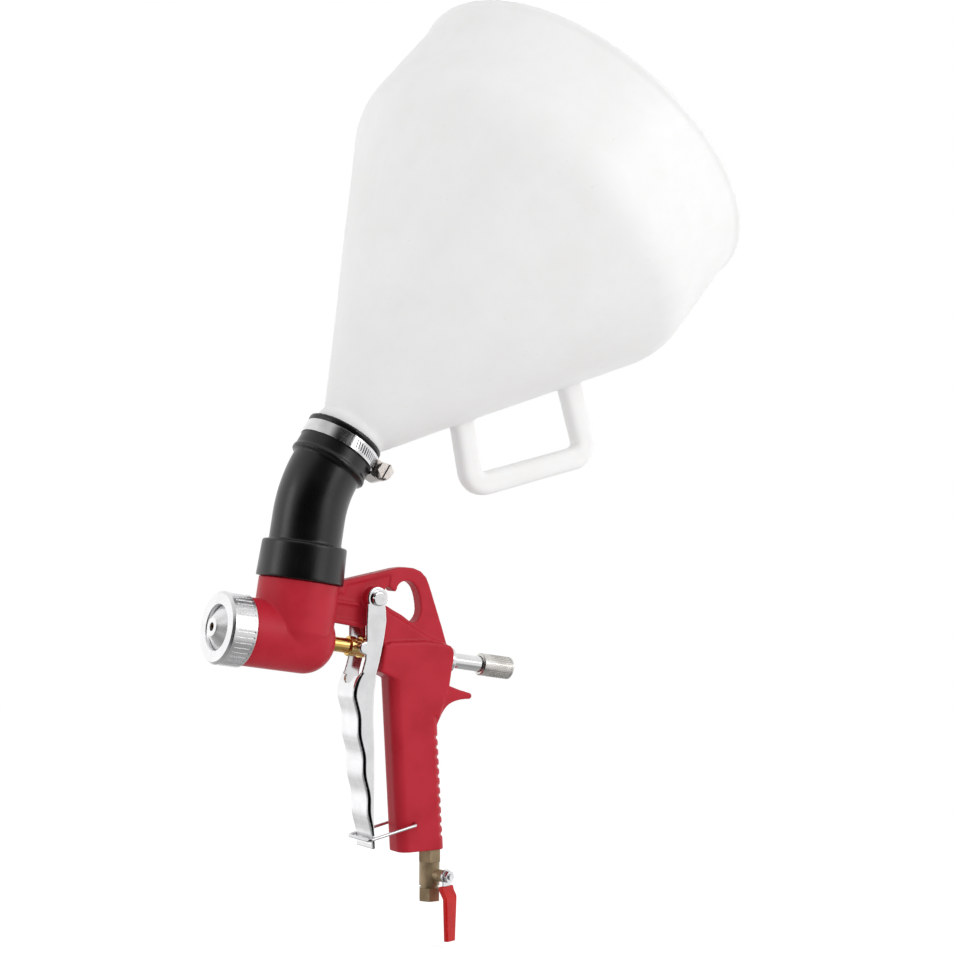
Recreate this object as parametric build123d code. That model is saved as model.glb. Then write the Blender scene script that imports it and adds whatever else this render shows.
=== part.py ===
from build123d import *
from math import cos, sin, radians, sqrt
import os

# Air-operated hopper spray gun: red die-cast gun, rubber elbow, blow-moulded hopper.
# Drawing frame: X runs along the spray axis (nozzle at -X, adjuster at +X), Z runs up the
# feed port, Y = 0 is the plane of symmetry, and the two axes cross at the origin.
# Every part is moved to the row frame (origin at the air inlet's mouth) when it is written.

# ---- barrel and feed port --------------------------------------------------------------
BARREL_R = 20.2
BARREL_FRONT_X = -33.2
THREAD_R = 19.3
THREAD_FRONT_X = -43.6
CHAMBER_R = 15.5
CHAMBER_REAR_X = 17.0
BARREL_REAR_X = 26.0
PORT_R = 24.2
PORT_TOP_Z = 33.8
NECK_R = 22.3
NECK_TOP_Z = 53.0
PORT_BORE_R = 18.0
BEAD_R = 22.9
BEAD_Z = (45.5, 48.5)

# ---- nozzle ----------------------------------------------------------------------------
RING_R = 21.5
RING_BACK_X = -33.5
RING_FACE_X = -49.7
RING_LIP_X = -46.1
RING_HOLE_R = 13.3
RING_RIBS = 40
DISC_R = 19.1
DISC_BACK_X = -44.4
DOME_BASE_R = 13.0
DOME_TOP_R = 5.6
DOME_TOP_X = -52.8
ORIFICE_R = 2.5

# ---- air tube and its valve ------------------------------------------------------------
TUBE_R = 4.5
TUBE_BORE_R = 2.4
TUBE_GUIDE_R = 4.56
TUBE_TIP_X = -51.1
COLLAR_X = (38.5, 50.5)
COLLAR_GROOVE_X = (42.7, 46.9)
COLLAR_R = 6.1
BLOCK_FRONT_X = 59.4
BLOCK_REAR_X = 110.0
BLOCK_HALF_W = 9.3
GLAND_R = 6.6
GLAND_X = (59.0, 65.0)
PACKING_X = (65.0, 68.0)
RELIEF_R = 5.4
SEAT_X = 76.0
SPRING_ROOM_R = 6.6
SPRING_ROOM_REAR_X = 100.2
SPRING_X = (79.95, 95.4)
SPRING_MEAN_R = 5.0
SPRING_WIRE_R = 0.45
SPRING_COILS = 6

# ---- adjuster --------------------------------------------------------------------------
ADJUSTER_THREAD_R = 7.2
HOUSING_R = 4.9
HOUSING_END_X = 135.0
SCREW_R = 2.6
KNOB_X = (134.5, 157.5)
KNOB_R = 7.0
KNOB_GROOVES = 30

# ---- casting: web, hook and grip -------------------------------------------------------
WEB_HALF_W = 3.6
PIVOT = (48.8, 30.4)
PIVOT_BOSS_R = 6.6
GRIP_MID_X = 92.0
GRIP_MID_Z = -48.0
GRIP_LEAN = 0.226
GRIP_DEPTH = 33.4
GRIP_WIDTH = 18.6
GRIP_CORNER_R = 6.4
GRIP_FOOT = (117.0, -115.8)
GRIP_RIDGES = 11
GRIP_RIDGE_DEPTH = 1.0

# ---- trigger ---------------------------------------------------------------------------
TRIGGER_HALF_W = 11.1
TRIGGER_SHEET = 1.6
TRIGGER_EAR_R = 7.0
PIVOT_SCREW_R = 2.5
LUG = (44.8, 0.0)
LUG_R = 2.0
BAIL_PIVOT = (97.7, -101.6)
BAIL_WIRE_R = 1.0
BAIL_CROSS = (65.6, -113.4)
BAIL_HALF_W = 12.4

# ---- ball valve (its axis leans 9 degrees, its stem is turned 17 degrees) ---------------
VALVE_LEAN = 9.0
STEM_TURN = 17.0
VALVE_THREAD_R = 4.86
VALVE_BODY_R = 6.3
VALVE_LENGTH = 32.1
INLET_BORE_R = 4.28
INLET_DEPTH = 7.1
BALL_S = 16.0
BALL_R = 4.0
LEVER_REACH = 39.0

# ---- elbow, clamp and hopper -----------------------------------------------------------
ELBOW_COLLAR_R = 26.2
ELBOW_COLLAR_Z = (34.1, 56.3)
ELBOW_R = 21.6
ELBOW_BORE_R = 17.8
ELBOW_BEND_Z = 71.3
ELBOW_BEND_R = 75.0
NECK_LEAN = 24.7
CLAMP_RISE = 15.8
CUFF_R = 23.3
CUFF_BORE_R = 20.66
CUFF_S = (-15.0, 8.0)
BAND_HALF_W = 4.0
BAND_T = 0.7
CLAMP_TURN = 10.0
HOUSING_WIDE = 10.6
HOUSING_LONG = 15.0
WORM_R = 3.3
SPIGOT_R = 20.6
HOPPER_WALL = 2.5
HOPPER_LEAN = 33.0
HOPPER_FOOT_AT = (20.6, 127.8)
CREASE_R = 121.5
CREASE_RISE = 174.0
CREASE_ROUND = 45.0
RIM_RISE = 250.0
RIM_R = 120.0
HANDLE_BAR = (14.6, 12.0)


def xz(points):
    """Face in the Y = 0 plane from a list of (x, z) corners."""
    return Plane.XZ * make_face(Polyline(*points, close=True))


def plate(points, half_width):
    """Outline in X and Z, extruded evenly to both sides of Y = 0."""
    return extrude(xz(points), amount=half_width, both=True)


def turned(points):
    """Solid of revolution about the spray axis from (x, r) corners."""
    return revolve(xz(points), axis=Axis.X)


def ring_x(x0, x1, outer, inner):
    """Plain ring on the spray axis."""
    return turned([(x0, inner), (x0, outer), (x1, outer), (x1, inner)])


def rod(start, end, radius):
    """Round bar between two points."""
    a = Vector(start)
    b = Vector(end)
    plane = Plane(origin=a, z_dir=b - a)
    return plane * Cylinder(radius, (b - a).length, align=(Align.CENTER, Align.CENTER, Align.MIN))


def hex_bar(start, end, across_flats):
    """Hexagonal bar between two points."""
    a = Vector(start)
    b = Vector(end)
    plane = Plane(origin=a, z_dir=b - a)
    face = plane * RegularPolygon(across_flats / sqrt(3), 6)
    return extrude(face, amount=(b - a).length, dir=b - a)


def side_rod(x, z, y0, y1, radius):
    """Round bar parallel to Y."""
    return rod((x, y0, z), (x, y1, z), radius)


# ---- frames for the valve and the hopper neck ------------------------------------------
VALVE_AXIS = Vector(sin(radians(VALVE_LEAN)), 0, -cos(radians(VALVE_LEAN)))
STEM_AXIS = Vector(
    sin(radians(STEM_TURN)) * cos(radians(VALVE_LEAN)),
    -cos(radians(STEM_TURN)),
    sin(radians(STEM_TURN)) * sin(radians(VALVE_LEAN)),
)
FOOT = Vector(GRIP_FOOT[0], 0, GRIP_FOOT[1])
INLET = FOOT + VALVE_AXIS * VALVE_LENGTH
NECK_AXIS = Vector(sin(radians(NECK_LEAN)), 0, cos(radians(NECK_LEAN)))
BEND_END = Vector(
    ELBOW_BEND_R * (1 - cos(radians(NECK_LEAN))),
    0,
    ELBOW_BEND_Z + ELBOW_BEND_R * sin(radians(NECK_LEAN)),
)
CLAMP = BEND_END + NECK_AXIS * CLAMP_RISE


def valve_bar(s0, s1, radius):
    """Round bar on the valve's axis, s counted from the grip's foot."""
    a = FOOT + VALVE_AXIS * s0
    b = FOOT + VALVE_AXIS * s1
    return rod(a, b, radius)


def stem_bar(d0, d1, radius):
    """Round bar on the stem's axis, d counted from the ball's centre."""
    ball = FOOT + VALVE_AXIS * BALL_S
    return rod((ball + STEM_AXIS * d0), (ball + STEM_AXIS * d1), radius)


def stem_hex(d0, d1, across_flats):
    """Hexagon on the stem's axis."""
    ball = FOOT + VALVE_AXIS * BALL_S
    return hex_bar((ball + STEM_AXIS * d0), (ball + STEM_AXIS * d1), across_flats)


def neck_bar(s0, s1, radius, radius_end=None):
    """Cylinder or cone on the hopper neck's axis, s counted from the clamp's mid plane."""
    plane = Plane(origin=CLAMP + NECK_AXIS * s0, z_dir=NECK_AXIS)
    align = (Align.CENTER, Align.CENTER, Align.MIN)
    if radius_end is None:
        return plane * Cylinder(radius, s1 - s0, align=align)
    return plane * Cone(radius, radius_end, s1 - s0, align=align)


# ---- gun body casting ------------------------------------------------------------------
def grip_centre(z):
    """Middle of the grip's section at height z."""
    return GRIP_MID_X + GRIP_LEAN * (GRIP_MID_Z - z)


def barrel_solid():
    outline = Plane.XZ * make_face(
        [
            Polyline(
                (BARREL_REAR_X, 5.3),
                (BARREL_REAR_X, 0),
                (THREAD_FRONT_X, 0),
                (THREAD_FRONT_X, THREAD_R),
                (BARREL_FRONT_X, THREAD_R),
                (BARREL_FRONT_X, BARREL_R),
                (8.0, BARREL_R),
            ),
            ThreePointArc((8.0, BARREL_R), (21.3, 14.8), (BARREL_REAR_X, 5.3)),
        ]
    )
    return revolve(outline, axis=Axis.X)


def port_solid():
    port = Pos(0, 0, 4.0) * Cylinder(PORT_R, PORT_TOP_Z - 4.0, align=(Align.CENTER, Align.CENTER, Align.MIN))
    skirt = Pos(0, 0, -9.0) * Cone(17.5, PORT_R, 13.0, align=(Align.CENTER, Align.CENTER, Align.MIN))
    neck = Cylinder(NECK_R, NECK_TOP_Z, align=(Align.CENTER, Align.CENTER, Align.MIN))
    bead_low = Pos(0, 0, BEAD_Z[0] - 0.6) * Cone(NECK_R, BEAD_R, 0.6, align=(Align.CENTER, Align.CENTER, Align.MIN))
    bead = Pos(0, 0, BEAD_Z[0]) * Cylinder(
        BEAD_R, BEAD_Z[1] - BEAD_Z[0], align=(Align.CENTER, Align.CENTER, Align.MIN)
    )
    return port + skirt + neck + bead_low + bead


def web_solid():
    outline = [
        (14.0, 12.8),
        (14.0, 33.8),
        (26.9, 33.8),
        (26.9, 37.9),
        (63.0, 50.6),
        (69.0, 52.0),
        (75.0, 52.3),
        (80.5, 51.0),
        (85.0, 47.8),
        (88.0, 43.2),
        (100.4, 20.6),
        (107.0, 8.0),
        (107.0, 0.0),
        (60.0, 0.0),
        (53.5, 11.6),
    ]
    web = plate(outline, WEB_HALF_W)
    window_edge = Spline(
        (57.6, 28.0),
        (64.5, 25.2),
        (73.5, 21.9),
        (80.6, 19.6),
        (84.3, 24.6),
        (83.6, 31.5),
        (81.0, 38.0),
        (76.0, 43.2),
        (69.8, 43.6),
        (65.4, 39.8),
        periodic=False,
    )
    window = Plane.XZ * make_face(
        [
            window_edge,
            Spline((65.4, 39.8), (63.6, 36.4), (61.4, 37.8), (57.5, 37.6)),
            Line((57.5, 37.6), (57.6, 28.0)),
        ]
    )
    rim = plate(outline, WEB_HALF_W + 0.8)
    inner = [(14.0, 15.6), (14.0, 30.5), (29.4, 30.5), (29.4, 35.8), (60.0, 46.2), (60.0, 14.6)]
    rim -= plate(inner, 20.0)
    web += rim
    web -= extrude(window, amount=30.0, both=True)
    boss = side_rod(PIVOT[0], PIVOT[1], -9.35, 9.35, PIVOT_BOSS_R)
    rib = plate([(20.0, 24.2), (20.0, 26.2), (40.5, 26.2), (41.5, 25.2), (40.5, 24.2)], WEB_HALF_W + 1.2)
    return web + boss + rib


def block_solid():
    block = plate(
        [
            (BLOCK_FRONT_X, 3.3),
            (64.0, 5.8),
            (88.0, 9.4),
            (101.5, 9.4),
            (107.0, 8.6),
            (109.3, 6.6),
            (BLOCK_REAR_X, 3.6),
            (BLOCK_REAR_X, -15.0),
            (106.0, -36.0),
            (100.0, -36.0),
            (92.0, -21.0),
            (75.0, -18.0),
            (67.4, -15.4),
            (BLOCK_FRONT_X, -12.8),
        ],
        BLOCK_HALF_W,
    )
    block = fillet(block.faces().sort_by(Axis.Y)[0].edges() + block.faces().sort_by(Axis.Y)[-1].edges(), 1.8)
    gusset = plate(
        [(56.0, 26.0), (61.5, 23.6), (92.5, 11.9), (104.0, 10.0), (104.0, 0.0), (60.5, 0.0), (57.0, 12.0)],
        6.6,
    )
    gusset = chamfer(gusset.faces().sort_by(Axis.Y)[0].edges() + gusset.faces().sort_by(Axis.Y)[-1].edges(), 1.2)
    snout = rod((BLOCK_FRONT_X, 0, 0), (80.0, 0, 0), 8.6)
    collar = rod((100.0, 0, 0), (BLOCK_REAR_X, 0, 0), 9.2)
    horn = Plane.XZ * make_face(
        [
            Polyline((109.0, -12.0), (110.0, -15.6), (118.5, -17.4), (126.4, -18.5)),
            ThreePointArc((126.4, -18.5), (127.8, -20.6), (126.0, -22.2)),
            Spline((126.0, -22.2), (117.0, -24.3), (111.5, -27.6), (107.6, -34.0), (104.6, -44.0)),
            Polyline((104.6, -44.0), (96.0, -44.0), (96.0, -12.0), (109.0, -12.0)),
        ]
    )
    horn = extrude(horn, amount=7.6, both=True)
    return block + gusset + snout + collar + horn


def grip_solid():
    top_z = -14.0
    low_z = -128.0
    sections = []
    core_sections = []
    for z in (top_z, low_z):
        place = Plane(origin=(grip_centre(z), 0, z), z_dir=(0, 0, 1))
        sections.append(place * RectangleRounded(GRIP_DEPTH, GRIP_WIDTH, GRIP_CORNER_R))
        cut = 2 * GRIP_RIDGE_DEPTH
        core_sections.append(place * RectangleRounded(GRIP_DEPTH - cut, GRIP_WIDTH - cut, GRIP_CORNER_R - 1.0))
    grip = loft(sections, ruled=True)
    core = loft(core_sections, ruled=True)
    below = Plane(origin=FOOT, z_dir=VALVE_AXIS) * Box(
        120, 60, 40, align=(Align.CENTER, Align.CENTER, Align.MIN)
    )
    grip -= below
    for i in range(GRIP_RIDGES):
        z = -48.0 - 5.8 * i
        slab = Pos(grip_centre(z) + GRIP_DEPTH / 2, 0, z) * Box(9.6, 30.0, 2.4)
        grip -= slab - core
    return grip


def gun_body():
    body = barrel_solid() + port_solid()
    body += web_solid() + block_solid() + grip_solid()
    # material path: feed port down into the mixing chamber
    body -= rod((THREAD_FRONT_X - 1, 0, 0), (CHAMBER_REAR_X, 0, 0), CHAMBER_R)
    body -= rod((0, 0, 0), (0, 0, NECK_TOP_Z + 1), PORT_BORE_R - 3.0)
    body -= rod((0, 0, 14.0), (0, 0, NECK_TOP_Z + 1), PORT_BORE_R)
    # tube guides, barrel seal recess, gland, valve seat, spring room, adjuster thread
    body -= rod((0, 0, 0), (72.0, 0, 0), TUBE_GUIDE_R)
    body -= rod((CHAMBER_REAR_X - 1, 0, 0), (CHAMBER_REAR_X + 3, 0, 0), 6.5)
    body -= rod((BLOCK_FRONT_X - 0.5, 0, 0), (PACKING_X[1], 0, 0), GLAND_R)
    body -= rod((BARREL_REAR_X + 0.2, 0, 0), (BLOCK_FRONT_X - 0.4, 0, 0), 8.0)
    body -= rod((70.0, 0, 0), (SEAT_X, 0, 0), RELIEF_R)
    body -= rod((SEAT_X, 0, 0), (SPRING_ROOM_REAR_X, 0, 0), SPRING_ROOM_R)
    body -= rod((SPRING_ROOM_REAR_X, 0, 0), (BLOCK_REAR_X + 1, 0, 0), ADJUSTER_THREAD_R)
    # air path up the grip, valve thread, pivot and bail holes
    body -= valve_bar(-9.0, 1.0, VALVE_THREAD_R + 0.03)
    body -= rod((115.5, 0, -106.0), (91.3, 0, -2.5), 2.8)
    body -= side_rod(PIVOT[0], PIVOT[1], -12, 12, PIVOT_SCREW_R + 0.04)
    for side in (-1, 1):
        body -= side_rod(BAIL_PIVOT[0], BAIL_PIVOT[1], side * 4.0, side * 12.0, BAIL_WIRE_R + 0.06)
    return body


# ---- nozzle end ------------------------------------------------------------------------
def nozzle_ring():
    ring = turned(
        [
            (RING_FACE_X, RING_HOLE_R + 0.6),
            (RING_FACE_X, RING_R - 1.4),
            (RING_FACE_X + 1.4, RING_R),
            (RING_BACK_X - 0.5, RING_R),
            (RING_BACK_X, RING_R - 0.5),
            (RING_BACK_X, THREAD_R + 0.06),
            (RING_LIP_X, THREAD_R + 0.06),
            (RING_LIP_X, RING_HOLE_R),
            (RING_FACE_X + 0.6, RING_HOLE_R),
        ]
    )
    cutter = Box(11.0, 0.9, 1.6)
    middle_x = (RING_FACE_X + RING_BACK_X) / 2 + 0.9
    for i in range(RING_RIBS):
        ring -= Rot(360.0 * i / RING_RIBS, 0, 0) * Pos(middle_x, 0, RING_R + 0.35) * cutter
    return ring


def nozzle_insert():
    return turned(
        [
            (DISC_BACK_X, 11.4),
            (DISC_BACK_X, DISC_R),
            (RING_LIP_X + 0.04, DISC_R),
            (RING_LIP_X + 0.04, DOME_BASE_R),
            (RING_LIP_X - 0.8, DOME_BASE_R),
            (DOME_TOP_X + 0.6, DOME_TOP_R + 0.6),
            (DOME_TOP_X, DOME_TOP_R),
            (DOME_TOP_X, ORIFICE_R),
            (TUBE_TIP_X - 0.1, ORIFICE_R),
            (TUBE_TIP_X - 0.1, 4.6),
        ]
    )


def air_tube():
    tube = turned(
        [
            (TUBE_TIP_X, TUBE_BORE_R),
            (TUBE_TIP_X, 3.1),
            (TUBE_TIP_X + 3.6, TUBE_R),
            (77.4, TUBE_R),
            (77.4, 6.1),
            (79.9, 6.1),
            (79.9, 3.6),
            (82.5, 3.6),
            (83.0, 3.1),
            (83.0, 0.0),
            (74.6, 0.0),
            (74.6, TUBE_BORE_R),
        ]
    )
    tube -= rod((73.0, -8, 0), (73.0, 8, 0), 1.2)
    tube -= rod((73.0, 0, -8), (73.0, 0, 8), 1.2)
    return tube


def pull_collar():
    g0, g1 = COLLAR_GROOVE_X
    return turned(
        [
            (COLLAR_X[0], TUBE_R + 0.02),
            (COLLAR_X[0], COLLAR_R - 0.6),
            (COLLAR_X[0] + 0.6, COLLAR_R),
            (g0, COLLAR_R),
            (g0, 5.3),
            (g1, 5.3),
            (g1, COLLAR_R),
            (COLLAR_X[1] - 0.6, COLLAR_R),
            (COLLAR_X[1], COLLAR_R - 0.6),
            (COLLAR_X[1], TUBE_R + 0.02),
        ]
    )


def gland_nut():
    nut = ring_x(GLAND_X[0], GLAND_X[1], GLAND_R - 0.05, TUBE_R + 0.05)
    nut -= Pos(GLAND_X[0], 0, 0) * Box(2.0, 14.0, 1.6)
    return nut


def return_spring():
    x0 = SPRING_X[0] + SPRING_WIRE_R
    length = SPRING_X[1] - SPRING_X[0] - 2 * SPRING_WIRE_R
    helix = Helix(pitch=length / SPRING_COILS, height=length, radius=SPRING_MEAN_R)
    start = helix ^ 0
    coil = sweep(start * Circle(SPRING_WIRE_R), path=helix, is_frenet=True)
    return Pos(x0, 0, 0) * Rot(0, 90, 0) * coil


def spring_seat():
    return turned([(93.5, 0), (93.5, 3.6), (95.5, 3.6), (95.5, 6.5), (97.5, 6.5), (97.5, 0)])


def adjuster_housing():
    housing = turned(
        [
            (100.4, SCREW_R + 0.05),
            (100.4, ADJUSTER_THREAD_R - 0.05),
            (BLOCK_REAR_X, ADJUSTER_THREAD_R - 0.05),
            (BLOCK_REAR_X, 8.0),
            (BLOCK_REAR_X + 2.4, 8.0),
            (BLOCK_REAR_X + 3.2, 7.2),
            (BLOCK_REAR_X + 3.2, HOUSING_R + 0.8),
            (BLOCK_REAR_X + 4.2, HOUSING_R),
            (HOUSING_END_X - 0.5, HOUSING_R),
            (HOUSING_END_X, HOUSING_R - 0.5),
            (HOUSING_END_X, SCREW_R + 0.05),
            (107.4, SCREW_R + 0.05),
            (107.4, 4.2),
            (105.4, 4.2),
            (105.4, SCREW_R + 0.05),
        ]
    )
    return housing


def adjuster_knob():
    front, back = KNOB_X
    knob = turned(
        [
            (front, HOUSING_R + 0.3),
            (front, KNOB_R - 0.8),
            (front + 0.8, KNOB_R),
            (back - 1.0, KNOB_R),
            (back, KNOB_R - 1.0),
            (back, 0),
            (150.0, 0),
            (150.0, SCREW_R + 0.02),
            (141.0, SCREW_R + 0.02),
            (141.0, HOUSING_R + 0.3),
        ]
    )
    cutter = Box(16.0, 0.6, 1.0)
    for i in range(KNOB_GROOVES):
        knob -= Rot(360.0 * i / KNOB_GROOVES, 0, 0) * Pos(147.5, 0, KNOB_R + 0.1) * cutter
    return knob


# ---- trigger ---------------------------------------------------------------------------
def finger_line(z):
    """Front edge of the trigger below the tube: a slope with shallow finger waves."""
    wave = 1.3 * (1 - cos(radians(360.0 * (z + 29.0) / 23.0))) / 2
    return 41.6 + 0.312 * (-29.0 - z) + wave


def trigger():
    top_z = PIVOT[1]
    steps = 32
    front = [(44.9, -14.6), (42.6, -19.0), (41.5, -24.0)]
    front += [(finger_line(-29.0 - 2.72 * i), -29.0 - 2.72 * i) for i in range(steps)]
    tip = (70.6, -119.0)
    rear = [
        (71.4, -117.4),
        (67.6, -99.5),
        (65.8, -87.6),
        (61.4, -61.0),
        (57.4, -41.3),
        (55.6, -28.0),
        (55.2, -14.5),
        (56.3, -5.7),
        (57.2, 8.0),
        (57.0, 18.0),
        (PIVOT[0] + TRIGGER_EAR_R - 0.6, 26.0),
    ]
    arm_front = [(PIVOT[0] - TRIGGER_EAR_R + 0.3, 26.0), (43.4, 14.0), (45.2, 3.0), (46.0, -7.0)]
    outline = Plane.XZ * make_face(
        [
            Polyline(*arm_front, front[0]),
            Spline(*front),
            Polyline(front[-1], tip, *rear),
            Line(rear[-1], arm_front[0]),
        ]
    )
    blank = extrude(outline, amount=TRIGGER_HALF_W, both=True)
    blank += side_rod(PIVOT[0], top_z, -TRIGGER_HALF_W, TRIGGER_HALF_W, TRIGGER_EAR_R)
    inner_w = TRIGGER_HALF_W - TRIGGER_SHEET
    lining = [(x + TRIGGER_SHEET, z) for x, z in front[:-1]]
    hollow = Plane.XZ * make_face(
        [
            Spline(*lining),
            Polyline(lining[-1], (69.6, -115.4), (90.0, -115.4), (90.0, -14.6), lining[0]),
        ]
    )
    blank -= extrude(hollow, amount=inner_w, both=True)
    blank -= Pos(55.0, 0, 14.0) * Box(60.0, 2 * inner_w, 61.6)
    # tube clearance notch in the top of the finger plate
    blank -= rod((30.0, 0, -16.8), (52.0, 0, -16.8), 5.4)
    blank -= side_rod(PIVOT[0], top_z, -20, 20, PIVOT_SCREW_R + 0.05)
    # two lugs that ride in the pull collar's groove
    for side in (-1, 1):
        blank += side_rod(LUG[0], LUG[1], side * 5.5, side * (TRIGGER_HALF_W - 0.4), LUG_R)
        blank += side_rod(LUG[0], LUG[1], side * inner_w, side * TRIGGER_HALF_W, LUG_R + 1.6)
    return blank


def pivot_screw():
    x, z = PIVOT
    screw = side_rod(x, z, -TRIGGER_HALF_W - 0.1, TRIGGER_HALF_W + 3.6, PIVOT_SCREW_R)
    head = side_rod(x, z, -TRIGGER_HALF_W - 2.3, -TRIGGER_HALF_W - 0.1, 4.6)
    head = fillet(head.edges().sort_by(Axis.Y)[0], 1.2)
    slot = Pos(x, -TRIGGER_HALF_W - 2.3, z) * Box(10.0, 1.6, 0.9)
    return screw + head - slot


def pivot_nut():
    x, z = PIVOT
    nut = hex_bar((x, TRIGGER_HALF_W + 0.1, z), (x, TRIGGER_HALF_W + 3.3, z), 8.0)
    return nut - side_rod(x, z, 0, 20, PIVOT_SCREW_R + 0.02)


def trigger_bail():
    px, pz = BAIL_PIVOT
    cx, cz = BAIL_CROSS
    w = BAIL_HALF_W
    corners = [(px, -4.6, pz), (px, -w, pz), (cx, -w, cz), (cx, w, cz), (px, w, pz), (px, 4.6, pz)]
    path = FilletPolyline(*corners, radius=2.2)
    start = Plane(origin=(px, -4.6, pz), z_dir=(0, -1, 0))
    return sweep(start * Circle(BAIL_WIRE_R), path=path)


# ---- ball valve ------------------------------------------------------------------------
def ball_centre():
    return FOOT + VALVE_AXIS * BALL_S


def valve_body():
    body = valve_bar(-8.6, 0.2, VALVE_THREAD_R)
    body += valve_bar(0.05, 22.6, VALVE_BODY_R)
    a = FOOT + VALVE_AXIS * 0.05
    b = FOOT + VALVE_AXIS * 8.0
    body += hex_bar(a, b, 12.8)
    body += stem_bar(0, 9.6, 3.7)
    body -= valve_bar(-9.0, 12.0, 2.6)
    body -= valve_bar(11.4, 23.0, 5.0)
    body -= stem_bar(0, 7.2, 1.85)
    body -= stem_bar(7.2, 10.0, 2.9)
    return body


def valve_end():
    a = FOOT + VALVE_AXIS * 24.2
    b = FOOT + VALVE_AXIS * VALVE_LENGTH
    end = hex_bar(a, b, 12.0)
    end += valve_bar(22.7, 24.4, 5.2)
    end += valve_bar(20.7, 23.0, 4.96)
    end -= valve_bar(20.0, VALVE_LENGTH, 2.2)
    end -= valve_bar(VALVE_LENGTH - INLET_DEPTH, VALVE_LENGTH + 1, INLET_BORE_R)
    return end


def ball_seat(s0, s1):
    seat = valve_bar(s0, s1, 4.96)
    seat -= valve_bar(s0 - 1, s1 + 1, 2.2)
    centre = ball_centre()
    return seat - Pos(centre.X, centre.Y, centre.Z) * Sphere(BALL_R + 0.03)


def valve_ball():
    centre = ball_centre()
    ball = Pos(centre.X, centre.Y, centre.Z) * Sphere(BALL_R)
    ball -= valve_bar(BALL_S - 6, BALL_S + 6, 2.0)
    slot = Plane(origin=centre + STEM_AXIS * 3.5, x_dir=VALVE_AXIS, z_dir=STEM_AXIS) * Box(9.0, 1.6, 1.8)
    return ball - slot


def valve_stem():
    centre = ball_centre()
    tongue = Plane(origin=centre + STEM_AXIS * 3.7, x_dir=VALVE_AXIS, z_dir=STEM_AXIS) * Box(3.0, 1.5, 2.0)
    return tongue + stem_bar(4.3, 17.9, 1.8)


def stem_gland():
    gland = stem_bar(8.4, 9.7, 2.85) + stem_hex(9.7, 12.6, 7.0)
    return gland - stem_bar(8, 14, 1.85)


def stem_packing():
    return stem_bar(7.3, 8.4, 2.85) - stem_bar(7, 9, 1.83)


def lever_frame():
    """Plane with x along the valve, z outward along the stem, at the ball's centre."""
    return Plane(origin=ball_centre(), x_dir=VALVE_AXIS, z_dir=STEM_AXIS)


def lever_profile(inner, outer, start):
    """Side view of the cranked lever, as (distance along the valve, distance out) corners."""
    corners = [(start, inner), (8.0, inner), (12.5, inner + 3.0), (LEVER_REACH, inner + 3.0)]
    corners += [(LEVER_REACH, outer + 3.0), (12.2, outer + 3.0), (7.7, outer), (start, outer)]
    return corners


def lever_side(points, half_width):
    frame = lever_frame()
    side = Plane(origin=frame.origin, x_dir=frame.x_dir, z_dir=frame.y_dir * -1)
    return extrude(side * make_face(Polyline(*points, close=True)), amount=half_width, both=True)


def lever_strap():
    strap = lever_side(lever_profile(12.9, 14.3, 0.0), 3.2)
    end_s = LEVER_REACH - 1.5
    strap -= lever_side([(end_s, 10), (end_s + 5, 10), (end_s + 5, 25), (end_s, 25)], 9)
    strap += stem_bar(12.9, 14.3, 4.4)
    return strap - stem_bar(12, 16, 1.82)


def lever_sleeve():
    sleeve = lever_side(lever_profile(11.9, 15.3, 5.6), 5.2)
    frame = lever_frame()
    for side in (-1, 1):
        corner = Plane(origin=frame.origin, x_dir=frame.x_dir, z_dir=frame.z_dir)
        wedge = [(12.0, side * 5.3), (LEVER_REACH + 2, side * 5.3), (LEVER_REACH + 2, side * 3.9), (34.0, side * 4.2)]
        sleeve -= extrude(corner * make_face(Polyline(*wedge, close=True)), amount=40.0, both=True)
    ends = sleeve.edges().filter_by(lambda e: e.length > 8.0)
    sleeve = chamfer(ends.filter_by(GeomType.LINE), 0.7)
    return sleeve - lever_side(lever_profile(12.85, 14.35, 0.0), 3.25)


def lever_nut():
    nut = stem_hex(14.35, 16.9, 6.8)
    return nut - stem_bar(13, 20, 1.82)


# ---- elbow and clamp -------------------------------------------------------------------
def elbow_bend(radius):
    """Bent length of pipe between the collar's straight length and the cuff."""
    start = Plane(origin=(0, 0, ELBOW_BEND_Z), z_dir=(0, 0, 1)) * Circle(radius)
    hinge = Axis((ELBOW_BEND_R, 0, ELBOW_BEND_Z), (0, 1, 0))
    return revolve(start, axis=hinge, revolution_arc=NECK_LEAN)


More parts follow.
